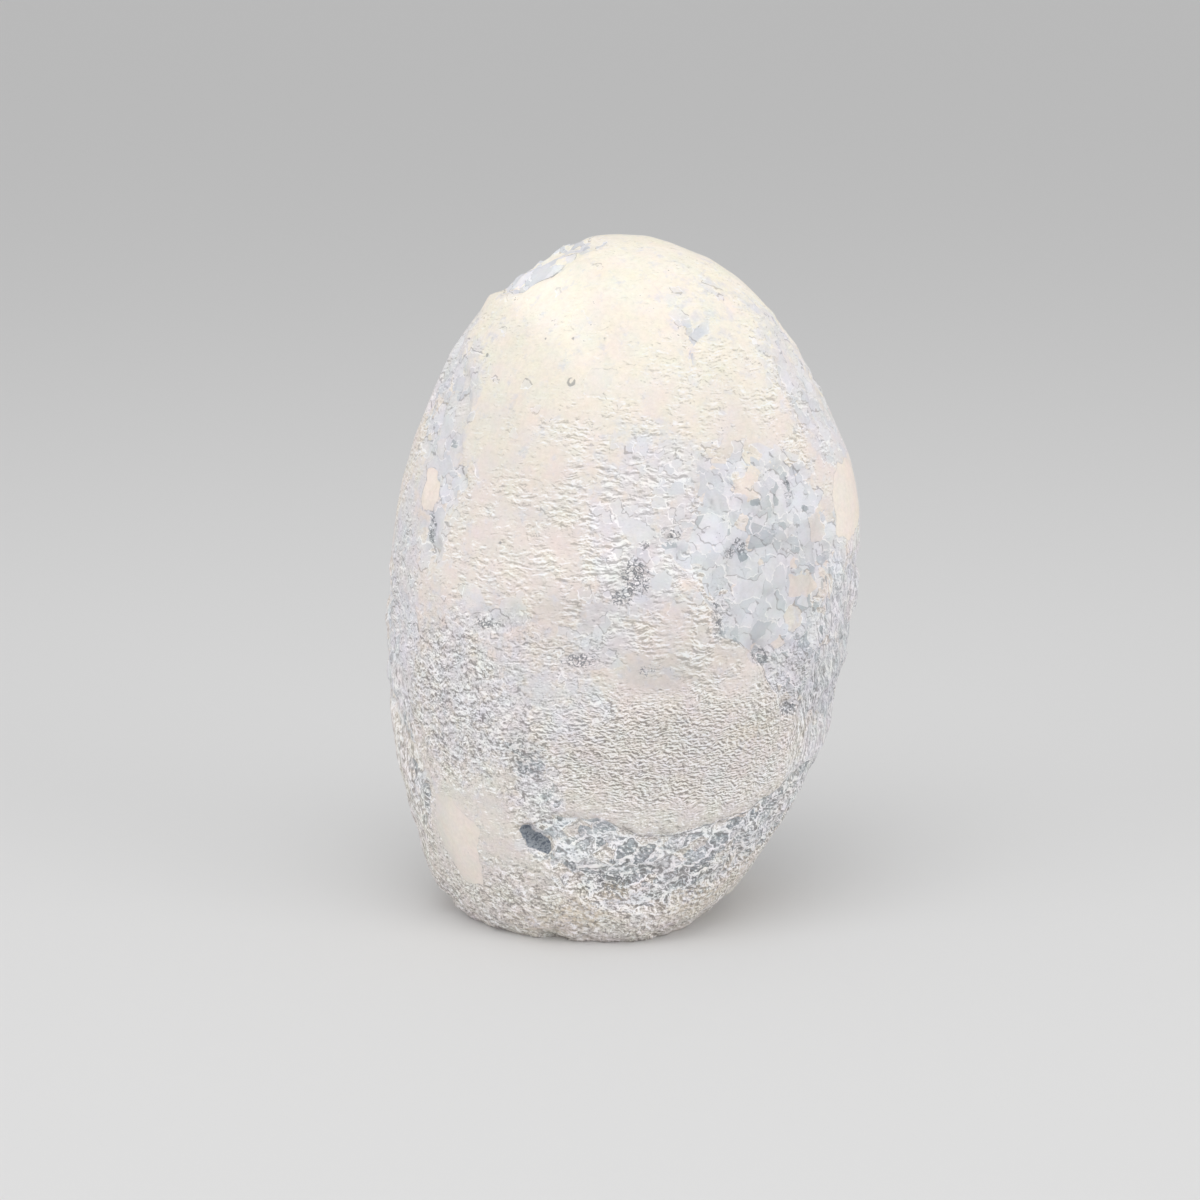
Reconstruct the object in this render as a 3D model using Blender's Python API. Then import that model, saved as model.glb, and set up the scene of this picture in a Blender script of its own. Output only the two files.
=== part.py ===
"""Celestite geode: one closed egg-shaped nodule, ground flat underneath so it stands up.

The whole stone is one solid. A thin chalky crust covers most of it; where the crust
has gone, the grown-together crystals below show as slightly sunken patches of flat faces.
"""
import math
import random

import bmesh
import bpy
import numpy as np
from mathutils import Vector, kdtree, noise

MM = 0.001

# Body, in millimetres. It is an egg that leans to the left: every level is made of four
# quarter ellipses, and each side has its own upright outline: (greatest half-width, the
# height of that, depth below it where the outline would close, fall above, fall below).
# A fall of 2 is an ellipse, and less is more pointed.
TOP = 200.0
LOWER_POLE = -25.0
LEFT = (69.5, 80.0, 118.0, 2.0, 2.0)
RIGHT = (68.8, 104.0, 114.0, 1.8, 1.6)
FRONT = (60.5, 80.0, 107.0, 1.9, 2.0)
BACK = (57.5, 80.0, 106.0, 1.9, 2.0)

# Front view that outlines are drawn on: a square sheet 1200 units wide, with y counted
# downwards. The eye is a metre away and looks down on a point of the stone at the sheet's
# middle, where a millimetre is 3.41 units.
SHEET_MIDDLE = 600.0
SHEET_SCALE = 3.41
EYE_DISTANCE = 1000.0
EYE_RISE = 13.0
EYE_AIM = (-7.0, 0.0, 92.5)
SIGHT_REACH = 90.0
SIGHT_STEP = 0.1

# Plain egg whose slope decides which way a patch is laid flat: half-sizes across, deep and
# up, and the height of its middle.
GIRTH = (66.0, 58.0, 112.0)
GIRTH_HEIGHT = 95.0
# How squarely the surface has to face a patch, a hollow or a ledge to belong to it.
FACES_PATCH = 0.1
FACES_HOLLOW = 0.3
FACES_LEDGE = 0.2
FAR_AWAY = 1000.0

# Uneven swell of the crust: (size of the lumps, height of the lumps).
SWELLS = ((48.0, 1.1), (19.0, 0.5), (9.0, 0.3))

# Crystal patches: depth, raggedness of the edge, corners on the front view, and then the
# corners out of its sight as (degrees round from the front, height above the foot).
# Positive degrees run to the right as seen from the front.
PATCHES = {
    "shoulder": (0.8, 0.6, (
        (815, 730), (800, 715), (775, 690), (750, 655), (722, 635), (712, 605), (690, 575),
        (655, 550), (690, 510), (700, 455), (760, 445), (805, 470), (830, 500), (845, 560)), (
        (84, 112), (98, 102), (102, 84), (94, 66), (80, 57))),
    "seam": (0.5, 0.35, (
        (466, 616), (496, 600), (518, 600), (550, 612), (590, 602), (612, 578), (632, 550),
        (655, 554), (640, 598), (606, 638), (566, 640), (515, 630), (470, 640)), ()),
    "skirt": (0.8, 0.35, (
        (740, 866), (700, 893), (660, 908), (600, 905), (568, 890), (545, 862), (528, 846),
        (540, 818), (566, 820), (600, 819), (640, 838), (690, 832), (735, 815), (770, 793),
        (800, 765)), (
        (82, 52), (92, 42), (78, 26))),
    "fan": (0.7, 0.2, (
        (505, 742), (522, 736), (540, 748), (544, 770), (528, 778), (508, 765)), ()),
    "left brow": (0.7, 0.5, (
        (466, 338), (470, 372), (472, 402), (464, 440), (466, 490), (444, 518), (441, 556),
        (426, 566), (422, 530), (430, 500), (434, 468), (424, 452)), (
        (-84, 148), (-88, 160))),
    "left cheek": (0.7, 0.6, (
        (400, 580), (416, 606), (420, 640), (412, 668), (404, 690), (420, 735), (428, 775),
        (436, 800), (424, 822), (412, 790), (402, 750)), (
        (-84, 64), (-100, 68), (-114, 82), (-112, 104), (-92, 110))),
    "crown": (0.8, 0.4, (
        (500, 296), (524, 292), (548, 278), (572, 262), (604, 243)), (
        (-90, 198), (-140, 198), (-140, 190), (-112, 180))),
    "temple": (0.4, 0.6, (
        (826, 440), (800, 432), (782, 400), (768, 360), (764, 330), (772, 312)), (
        (94, 184), (104, 172), (99, 157), (90, 148))),
    "split": (0.4, 0.15, (
        (679, 319), (688, 322), (695, 328), (704, 327), (706, 333), (698, 339), (694, 350),
        (692, 368), (688, 368), (688, 350), (684, 334)), ()),
    "right brow": (0.7, 0.7, (), (
        (96, 150), (108, 164), (126, 166), (134, 152), (126, 138), (108, 136))),
    "back": (0.9, 0.9, (), (
        (150, 138), (168, 148), (190, 142), (204, 124), (198, 104), (208, 86), (196, 66),
        (174, 58), (158, 70), (162, 90), (148, 104), (142, 122))),
    "back hem": (0.8, 0.8, (), (
        (118, 40), (136, 50), (160, 42), (184, 40), (206, 46), (222, 34), (210, 16), (180, 8),
        (150, 10), (126, 20))),
    "left back": (0.8, 0.9, (), (
        (226, 150), (238, 162), (250, 154), (248, 138), (238, 124), (226, 128))),
    "heel": (0.7, 0.8, (), (
        (232, 72), (244, 82), (254, 70), (250, 52), (238, 48), (228, 58))),
}
EDGE_WANDER = ((15.0, 4.2), (6.5, 2.4))
EDGE_WIDTH = 1.3
FULL_DEPTH = 0.8  # shallower patches have lower crystals

# Islands of crust left standing in the patches: (across, down, half-width) where the front
# view shows them, and (degrees, height, half-width) where it doesn't.
ISLANDS_SEEN = ((750, 482, 5.0), (826, 588, 4.5), (402, 650, 4.5), (450, 415, 4.0))
ISLANDS_HIDDEN = ((86, 98, 5.0), (66, 38, 5.0), (182, 104, 6.0), (176, 130, 4.5),
                  (140, 34, 5.5), (196, 28, 5.0), (-96, 88, 5.5))

# Crystals: distance between neighbours, how far a face leans, how far it stands in or out.
CRYSTAL_SPACING = 7.5
CRYSTAL_LEAN = 0.15
CRYSTAL_STAGGER = 0.3
CRYSTAL_LIMIT = 0.9
STONE_ROUND = 60.0

# Deep pits with sheer sides: depth, corners on the front view, corners out of its sight.
PITS = (
    (3.4, ((518, 829), (524, 824), (531, 825), (533, 833), (542, 834), (552, 840), (551, 847),
           (548, 855), (540, 852), (528, 849), (525, 842)), ()),
    (2.2, (), ((174, 122), (181, 124), (184, 118), (178, 113), (173, 116))),
)
PIT_EDGE = 1.0

# Hollows: place, half-length, half-width, turn in degrees, depth.
HOLLOWS_SEEN = (
    (757, 656, 4.0, 3.0, 20, 2.0),
    (742, 555, 5.0, 4.0, 50, 1.6),
    (787, 707, 3.6, 2.6, -30, 1.8),
    (630, 580, 4.0, 2.4, 35, 1.2),
    (413, 735, 5.0, 2.6, 80, 1.8),
    (415, 768, 3.4, 2.4, 70, 1.6),
    (432, 553, 4.0, 2.0, 80, 1.3),
    (742, 852, 3.6, 2.4, 15, 1.4),
    (650, 876, 4.2, 2.4, -10, 1.5),
)
HOLLOWS_HIDDEN = (
    (172, 118, 6.0, 4.0, 30, 2.6),
    (186, 78, 4.5, 3.0, -40, 2.2),
    (146, 26, 5.0, 3.0, 10, 2.4),
    (86, 84, 4.5, 2.6, 75, 1.6),
    (238, 64, 4.0, 3.0, 60, 1.6),
)

# Where the bowl of a hollow ends and how wide its side is, as shares of its half-size.
BOWL_REACH = 1.25
BOWL_EDGE = 0.7

# Steps where a sheet of crust ends: spots on the front view and places out of its sight
# that the step runs through, width of the slope, height of the step.
LEDGES = (
    (((505, 299), (530, 298), (552, 287), (570, 275)), ((-112, 178), (-92, 182)), 7.0, 1.3),
    (((468, 624), (505, 621), (550, 622), (592, 615)), (), 5.0, 0.7),
    ((), ((150, 166), (176, 172), (202, 164)), 8.0, 1.1),
    ((), ((104, 122), (120, 118), (136, 110)), 6.0, 0.9),
)

# Length that a ledge dies away over at its ends, and width of its step.
LEDGE_END = 8.0
LEDGE_STEP = 1.0

# Broad rises: place, half-width, rise.
RISES_SEEN = (
    (432, 494, 7.0, 0.6),
    (470, 850, 14.0, 0.9),
    (690, 680, 16.0, 0.6),
)
RISES_HIDDEN = (
    (80, 130, 17.0, 1.3),
    (92, 82, 16.0, 0.8),
    (-84, 172, 20.0, 2.0),
    (-88, 93, 18.0, 1.5),
    (210, 150, 18.0, 1.4),
    (130, 80, 22.0, 1.5),
    (228, 100, 18.0, -1.3),
)

# Chips out of the edge of the foot: (degrees, half-width, depth, how high they reach).
CHIPS = (
    (-29, 3.6, 2.8, 4.5), (-14, 5.0, 1.2, 3.0), (4, 3.5, 0.9, 3.5), (22, 6.0, 1.5, 5.0),
    (40, 4.0, 1.2, 5.5), (63, 5.5, 1.8, 6.0), (92, 4.5, 1.4, 4.0), (118, 6.0, 2.2, 6.0),
    (151, 4.5, 1.5, 4.0), (176, 6.5, 2.0, 5.0), (203, 4.0, 1.3, 3.5), (228, 5.5, 1.9, 5.5),
    (252, 5.0, 1.6, 4.0), (276, 6.0, 2.0, 5.0), (296, 4.0, 1.4, 4.0), (316, 5.0, 1.1, 3.0),
)
# How far past its half-width and height a chip dies away, and its share of the rounding.
CHIP_SIDE = 1.5
CHIP_TOP = 1.3
CHIP_SPREAD = 0.4
RIM_ROUNDING = 1.6
RIM_HEIGHT = 3.0

BALL_CUTS = 7
FACE_BUDGET = 9400
SEED = 11
CRUST_COLOUR = (0.80, 0.765, 0.71, 1.0)


def half_width(side, height):
    """How far one side of the body reaches out at this height."""
    widest, level, depth, fall_above, fall_below = side
    height = np.clip(np.asarray(height, dtype=float), 0.0, TOP - 0.01)
    above = ((height - level) / (TOP - level)).clip(0.0) ** fall_above
    below = ((level - height) / depth).clip(0.0) ** fall_below
    return widest * np.sqrt(1 - above - below)


def roundness(height):
    """Half-width of a unit ball stretched between the two poles, at this height."""
    middle = (TOP + LOWER_POLE) / 2
    reach = (TOP - LOWER_POLE) / 2
    return np.sqrt(1 - ((np.clip(height, 0.0, TOP - 0.01) - middle) / reach) ** 2)


def body_points(unit):
    """Points of the smooth stone, in millimetres, from points of a unit ball."""
    middle = (TOP + LOWER_POLE) / 2
    z = middle + (TOP - LOWER_POLE) / 2 * unit[:, 2]
    wide = np.where(unit[:, 0] > 0, half_width(RIGHT, z), half_width(LEFT, z))
    deep = np.where(unit[:, 1] > 0, half_width(BACK, z), half_width(FRONT, z))
    return np.column_stack((unit[:, 0] * wide / roundness(z), unit[:, 1] * deep / roundness(z), z))


def place(azimuth, height):
    """The point of the smooth stone at so many degrees round and so high up."""
    around = math.radians(azimuth)
    x, y = math.sin(around), -math.cos(around)
    wide = half_width(RIGHT if x > 0 else LEFT, height)
    deep = half_width(BACK if y > 0 else FRONT, height)
    reach = 1 / math.hypot(x / wide, y / deep)
    return np.array([x * reach, y * reach, height], dtype=float)


def seen(across, down):
    """The point of the smooth stone under a spot of the front view.

    Points are tried along the line of sight, and the first inside the stone is taken. Past
    the outline it is the one that comes nearest to the stone.
    """
    rise = math.radians(EYE_RISE)
    ahead = np.array([0.0, math.cos(rise), -math.sin(rise)])
    upward = np.array([0.0, math.sin(rise), math.cos(rise)])
    eye = np.array(EYE_AIM) - ahead * EYE_DISTANCE
    scale = SHEET_SCALE * EYE_DISTANCE
    sight = ahead + upward * (SHEET_MIDDLE - down) / scale
    sight[0] = (across - SHEET_MIDDLE) / scale
    steps = np.arange(EYE_DISTANCE - SIGHT_REACH, EYE_DISTANCE + SIGHT_REACH, SIGHT_STEP)
    line = eye + steps[:, None] * sight
    line = line[(line[:, 2] > 0) & (line[:, 2] < TOP)]
    wide = np.where(line[:, 0] > 0, half_width(RIGHT, line[:, 2]), half_width(LEFT, line[:, 2]))
    deep = np.where(line[:, 1] > 0, half_width(BACK, line[:, 2]), half_width(FRONT, line[:, 2]))
    fullness = np.hypot(line[:, 0] / wide, line[:, 1] / deep)
    inside = np.flatnonzero(fullness < 1)
    return line[inside[0] if len(inside) else fullness.argmin()]


def ring_of(spots, places):
    """Points of the stone under the spots of the front view, then those of the places."""
    return np.array([seen(x, y) for x, y in spots] + [place(a, h) for a, h in places])


def centred(seen_rows, hidden_rows):
    """The rows of both tables, each with its point of the stone in place of two numbers."""
    rows = [(seen(x, y), *rest) for x, y, *rest in seen_rows]
    return rows + [(place(a, h), *rest) for a, h, *rest in hidden_rows]


def flat_frame(centre):
    """Two directions lying on the stone at a point, and the one standing out of it."""
    outward = (centre - (0.0, 0.0, GIRTH_HEIGHT)) / np.square(GIRTH)
    outward /= np.linalg.norm(outward)
    across = np.cross((0.0, 0.0, 1.0), outward)
    across /= np.linalg.norm(across)
    return across, np.cross(outward, across), outward


def edge_distance(points, normals, corners):
    """Distance to a patch's edge laid flat, less than nothing inside the patch."""
    centre = corners.mean(axis=0)
    across, up, outward = flat_frame(centre)
    flat = np.column_stack(((points - centre) @ across, (points - centre) @ up))
    ring = np.column_stack(((corners - centre) @ across, (corners - centre) @ up))
    nearest = np.full(len(points), FAR_AWAY)
    inside = np.zeros(len(points), dtype=bool)
    for a, b in zip(ring, np.roll(ring, -1, axis=0)):
        nearest = np.minimum(nearest, run_distance(flat, a, b))
        if a[1] != b[1]:
            crosses = (a[1] > flat[:, 1]) != (b[1] > flat[:, 1])
            where = (b[0] - a[0]) * (flat[:, 1] - a[1]) / (b[1] - a[1]) + a[0]
            inside ^= crosses & (flat[:, 0] < where)
    distance = np.where(inside, -nearest, nearest)
    return np.where(normals @ outward > FACES_PATCH, distance, FAR_AWAY)


def run_distance(points, a, b):
    """Distance from each point to the straight run between a and b."""
    run = b - a
    t = np.clip((points - a) @ run / (run @ run), 0, 1)
    return np.linalg.norm(points - a - t[:, None] * run, axis=1)


def ease(value):
    """Nothing below 0, all above 1, with a soft start and finish."""
    t = np.clip(value, 0.0, 1.0)
    return t * t * (3 - 2 * t)


def rough(points, size, offset):
    """Smooth random waves of about the given size, between -1 and 1."""
    shift = Vector((offset, offset * 0.37, -offset * 0.71))
    return np.array([noise.noise(Vector(p) / size + shift) for p in points])


def crystal_seats(points):
    """Scattered places on the stone, one for each crystal, no two too close."""
    picker = random.Random(SEED)
    order = list(range(len(points)))
    picker.shuffle(order)
    grid = {}
    seats = []
    for index in order:
        p = points[index]
        cell = tuple((p // CRYSTAL_SPACING).astype(int))
        spacing = CRYSTAL_SPACING * picker.uniform(0.62, 1.0)
        near = [q for dx in (-1, 0, 1) for dy in (-1, 0, 1) for dz in (-1, 0, 1)
                for q in grid.get((cell[0] + dx, cell[1] + dy, cell[2] + dz), ())]
        if all(np.linalg.norm(p - q) > spacing for q in near):
            grid.setdefault(cell, []).append(p)
            seats.append(p)
    return seats


def crystal_faces(points):
    """Height of the flat crystal faces above the floor of their patch.

    Each crystal is cut by a plane through its seat, and the lowest plane wins.
    """
    picker = random.Random(SEED + 1)
    seats = crystal_seats(points)
    tree = kdtree.KDTree(len(seats))
    for i, seat in enumerate(seats):
        tree.insert(Vector(seat), i)
    tree.balance()
    lean = [Vector([picker.gauss(0, CRYSTAL_LEAN) for _ in range(3)]) for _ in seats]
    stand = [picker.uniform(-CRYSTAL_STAGGER, CRYSTAL_STAGGER) for _ in seats]
    rise = np.empty(len(points))
    for k, p in enumerate(points):
        here = Vector(p)
        rise[k] = min(stand[i] + lean[i].dot(here - seat) + gap * gap / (2 * STONE_ROUND)
                      for seat, i, gap in tree.find_n(here, 4))
    return np.clip(rise, -CRYSTAL_LIMIT, CRYSTAL_LIMIT)


def island_cover(points):
    """Full where an island of crust still stands in a patch, nothing elsewhere."""
    cover = np.zeros(len(points))
    for centre, width in centred(ISLANDS_SEEN, ISLANDS_HIDDEN):
        gap = np.linalg.norm(points - centre, axis=1)
        cover = np.maximum(cover, ease((width - gap) / EDGE_WIDTH + 0.5))
    return cover


def pit_depth(points, normals):
    """Depth of the sheer-sided pits."""
    depth = np.zeros(len(points))
    for deep, spots, places in PITS:
        gap = edge_distance(points, normals, ring_of(spots, places))
        inside = ease(0.5 - gap / PIT_EDGE)
        depth = np.maximum(depth, deep * inside)
    return depth


def hollow_depth(points, normals):
    """Depth of the broken-out hollows."""
    depth = np.zeros(len(points))
    for centre, length, width, turn, deep in centred(HOLLOWS_SEEN, HOLLOWS_HIDDEN):
        across, up, outward = flat_frame(centre)
        x = (points - centre) @ across
        y = (points - centre) @ up
        c, s = math.cos(math.radians(turn)), math.sin(math.radians(turn))
        reach = np.hypot((c * x + s * y) / length, (c * y - s * x) / width)
        bowl = ease((BOWL_REACH - reach) / BOWL_EDGE) * (normals @ outward > FACES_HOLLOW)
        depth = np.maximum(depth, deep * bowl)
    return depth


def ledge_rise(points, normals):
    """Crust standing proud just below each ledge and dying away downhill."""
    rise = np.zeros(len(points))
    for spots, places, width, high in LEDGES:
        corners = ring_of(spots, places)
        across, up, outward = flat_frame(corners.mean(axis=0))
        flat = np.column_stack((points @ across, points @ up))
        line = np.column_stack((corners @ across, corners @ up))
        order = np.argsort(line[:, 0])
        crest = np.interp(flat[:, 0], line[order, 0], line[order, 1])
        below = crest - flat[:, 1]
        start = ease((flat[:, 0] - line[:, 0].min()) / LEDGE_END)
        finish = ease((line[:, 0].max() - flat[:, 0]) / LEDGE_END)
        slope = ease(below / LEDGE_STEP + 0.5) * ease(1 - below / width)
        rise += high * slope * start * finish * (normals @ outward > FACES_LEDGE)
    return rise


def swell_rise(points):
    """Soft unevenness of the whole stone, and its few broad rises."""
    rise = np.zeros(len(points))
    for number, (size, high) in enumerate(SWELLS):
        rise += high * rough(points, size, 3.1 + number)
    for centre, width, high in centred(RISES_SEEN, RISES_HIDDEN):
        gap = np.linalg.norm(points - centre, axis=1)
        rise += high * np.exp(-(gap / width) ** 2)
    return rise


def rim_loss(points):
    """How far the edge of the foot is worn and chipped inwards."""
    azimuth = np.degrees(np.arctan2(points[:, 0], -points[:, 1]))
    out = np.hypot(points[:, 0], points[:, 1])
    loss = RIM_ROUNDING * ease(1 - points[:, 2] / RIM_HEIGHT)
    for centre, width, deep, high in CHIPS:
        turn = (azimuth - centre + 180) % 360 - 180
        gap = np.radians(turn) * out
        notch = ease(CHIP_SIDE - np.abs(gap) / width) * ease(CHIP_TOP - points[:, 2] / high)
        loss = np.maximum(loss, RIM_ROUNDING * notch * CHIP_SPREAD + deep * notch)
    return loss


def relief(points, normals):
    """Everything that stands out of, or is sunk into, the smooth stone."""
    wander = sum(high * rough(points, size, 7.7) for size, high in EDGE_WANDER)
    crystals = crystal_faces(points)
    sunk = np.zeros(len(points))
    bare = np.zeros(len(points))
    for depth, ragged, spots, places in PATCHES.values():
        gap = edge_distance(points, normals, ring_of(spots, places)) + ragged * wander
        inside = ease(0.5 - gap / EDGE_WIDTH)
        sunk = np.maximum(sunk, depth * inside)
        bare = np.maximum(bare, inside * min(1.0, depth / FULL_DEPTH))
    standing = 1 - island_cover(points)
    sunk *= standing
    bare *= standing
    rise = swell_rise(points) + ledge_rise(points, normals) * (1 - bare)
    pit = pit_depth(points, normals)
    bare *= 1 - ease(pit)
    return rise - sunk + crystals * bare - np.maximum(pit, hollow_depth(points, normals))


def shaped_ball():
    """The stone at full detail, before its foot is ground flat."""
    shape = bmesh.new()
    bmesh.ops.create_icosphere(shape, subdivisions=BALL_CUTS, radius=1.0)
    unit = np.array([v.co[:] for v in shape.verts])
    unit /= np.linalg.norm(unit, axis=1)[:, None]
    points = body_points(unit)
    for vert, point in zip(shape.verts, points):
        vert.co = point
    shape.normal_update()
    normals = np.array([v.normal[:] for v in shape.verts])
    moved = points + normals * relief(points, normals)[:, None]
    out = points[:, :2] / np.hypot(points[:, 0], points[:, 1])[:, None].clip(1e-6)
    moved[:, :2] -= out * rim_loss(points)[:, None]
    for vert, point in zip(shape.verts, moved):
        vert.co = point
    return shape


def stone_object(name, shape):
    """A mesh object of its own from the shape."""
    mesh = bpy.data.meshes.new(name)
    shape.to_mesh(mesh)
    shape.free()
    stone = bpy.data.objects.new(name, mesh)
    bpy.context.collection.objects.link(stone)
    return stone


def faceted(stone):
    """The same stone in few flat faces, most of them where it is most broken."""
    count = len(stone.data.polygons)
    thin = stone.modifiers.new("facets", "DECIMATE")
    thin.decimate_type = "COLLAPSE"
    thin.ratio = FACE_BUDGET / count
    depsgraph = bpy.context.evaluated_depsgraph_get()
    shape = bmesh.new()
    shape.from_object(stone, depsgraph)
    stone.modifiers.remove(thin)
    return shape


def grind_foot(shape):
    """Cut the stone flat underneath and close the cut with one flat face."""
    everything = shape.verts[:] + shape.edges[:] + shape.faces[:]
    cut = bmesh.ops.bisect_plane(shape, geom=everything, dist=1e-4, plane_co=(0, 0, 0),
                                 plane_no=(0, 0, 1), clear_inner=True)
    rim = [part for part in cut["geom_cut"] if isinstance(part, bmesh.types.BMEdge)]
    bmesh.ops.contextual_create(shape, geom=rim)
    bmesh.ops.recalc_face_normals(shape, faces=shape.faces)


def stand_at_origin(shape):
    """Put the middle of the stone's footprint over the origin, in metres."""
    corners = np.array([v.co[:] for v in shape.verts])
    middle = (corners.min(axis=0) + corners.max(axis=0)) / 2
    for vert in shape.verts:
        height = 0.0 if abs(vert.co.z) < 1e-3 else vert.co.z
        vert.co = Vector((vert.co.x - middle[0], vert.co.y - middle[1], height)) * MM


def crust_material():
    """Pale chalky crust."""
    material = bpy.data.materials.new("celestite crust")
    material.use_nodes = True
    shader = material.node_tree.nodes["Principled BSDF"]
    shader.inputs["Base Color"].default_value = CRUST_COLOUR
    shader.inputs["Roughness"].default_value = 0.6
    shader.inputs["Metallic"].default_value = 0.0
    return material


def build():
    for old in list(bpy.data.objects):
        bpy.data.objects.remove(old)
    stone = stone_object("geode", shaped_ball())
    shape = faceted(stone)
    grind_foot(shape)
    stand_at_origin(shape)
    shape.to_mesh(stone.data)
    shape.free()
    stone.data.materials.append(crust_material())
    stone.data.update()


build()
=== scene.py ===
"""Celestite geode: the finished look of the stone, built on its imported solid.

Lengths are in millimetres until they reach Blender, which works in metres. What shows from
the front is placed by its spot on a front view, (across, down) on a square sheet 1200 units
wide. The rest is placed by (degrees round from the front, height above the foot); positive
degrees run to the right as seen from the front.
"""

import math

import bpy
import numpy as np
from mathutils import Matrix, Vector, noise


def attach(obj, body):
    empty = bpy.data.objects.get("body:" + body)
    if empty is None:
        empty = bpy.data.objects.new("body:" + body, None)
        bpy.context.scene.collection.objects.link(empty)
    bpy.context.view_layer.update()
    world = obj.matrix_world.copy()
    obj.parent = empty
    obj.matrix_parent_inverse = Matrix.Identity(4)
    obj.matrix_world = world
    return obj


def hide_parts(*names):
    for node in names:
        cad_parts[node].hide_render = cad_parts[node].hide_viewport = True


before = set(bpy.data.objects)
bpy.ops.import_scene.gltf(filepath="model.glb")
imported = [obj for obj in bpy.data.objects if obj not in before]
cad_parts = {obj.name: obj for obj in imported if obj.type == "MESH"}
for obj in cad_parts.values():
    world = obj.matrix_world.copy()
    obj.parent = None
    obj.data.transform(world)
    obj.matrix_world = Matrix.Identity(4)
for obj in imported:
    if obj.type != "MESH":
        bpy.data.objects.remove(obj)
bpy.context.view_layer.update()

MM = 0.001

# The blank: a ball a little larger than the stone, drawn in on to the solid.
BLANK_CUTS = 7
BLANK_MIDDLE = 87.5
BLANK_REACH = (69.0, 59.0, 112.5)
SMOOTHING_ROUNDS = 4
SMOOTHING = 0.5
# Heights near the foot: the blank isn't smoothed below the first, and the relief starts at
# the second and fades in over the third.
FOOT_EDGE = 0.4
RELIEF_FROM = 0.3
RELIEF_FADE = 2.0
# Each side's part of the colour map, from corner to corner: (axis, way it faces).
MAP_CELLS = {
    (1, -1): (0.0, 0.44, 0.38, 1.0), (1, 1): (0.0, 0.0, 0.42, 0.44),
    (0, 1): (0.38, 0.44, 0.69, 1.0), (0, -1): (0.69, 0.44, 1.0, 1.0),
    (2, 1): (0.42, 0.0, 0.8, 0.44), (2, -1): (0.8, 0.0, 1.0, 0.44),
}

# The stone's round height, and its upright centre line, which the degrees are counted
# around.
STONE_HEIGHT = 200.0
AXIS = (0.7, 1.85)

# Plain egg whose slope decides which way a shape is laid flat: half-sizes across, deep and
# up, and the height of its middle.
GIRTH = (66.0, 58.0, 112.0)
GIRTH_HEIGHT = 95.0

# Front view: the eye is a metre from a point of the stone at the sheet's middle and looks
# down on it; a millimetre there is 3.41 units.
SHEET_WIDTH = 1200.0
SHEET_SCALE = 3.41
EYE_DISTANCE = 1000.0
EYE_RISE = 13.0
EYE_AIM = (AXIS[0] - 7.0, AXIS[1], 92.5)
SENSOR = 36.0

# Places where the finished outline stands out from the solid: (degrees, height,
# half-width, half-height, height of the rise).
SWELLINGS = ((-88, 76, 20, 8, 0.6), (-88, 14, 24, 8, 1.0), (88, 46, 20, 18, 1.4),
             (90, 128, 20, 16, 0.7))

# Relief too fine for the solid: (size across, size up, height), for the whole crust, for
# its flaky parts and for its granular parts.
SWELL = (7.0, 7.0, 0.16)
FLAKES = (6.5, 2.8, 0.34)
LUMPS = (2.8, 2.8, 0.28)
# Knobs along the foot, and the height that they fade out at.
KNOBS = (3.0, 3.0, 1.1)
KNOBS_REACH = 14.0
# Bare crystals: size of their faces, how far each leans and stands off from the next, how
# much of that a smooth stretch loses, and the width of a patch's edge.
FACE_SIZE = 4.8
FACE_LEAN = 0.15
FACE_STEP = 0.24
CALM_FACES = 0.7
FACES_EDGE = 1.5
# Worn edge of the foot: size and depth of its bites, the height that they reach, and the
# share of their depth that is worn off all round.
BITE_SIZE = 3.6
BITE_DEPTH = 1.8
BITE_REACH = 8.0
BITE_SHARE = 0.4

# Starting places of the random waves: relief, edges of islands and sheets, edges of
# patches, bites.
RELIEF_DRAW = 2.3
FRAY_DRAW = 5.5
WANDER_DRAW = 7.7
BITE_DRAW = 9.1

# Depth of what lies far outside an outline or faces away from it, and how much a face has
# to look the way an outline does to be reached by it.
OUTSIDE = -30.0
FACING = 0.1
# Where a soft-edged zone starts to fade, and over how much of its size it does.
ZONE_CORE = 0.5
ZONE_FADE = 0.9

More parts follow.
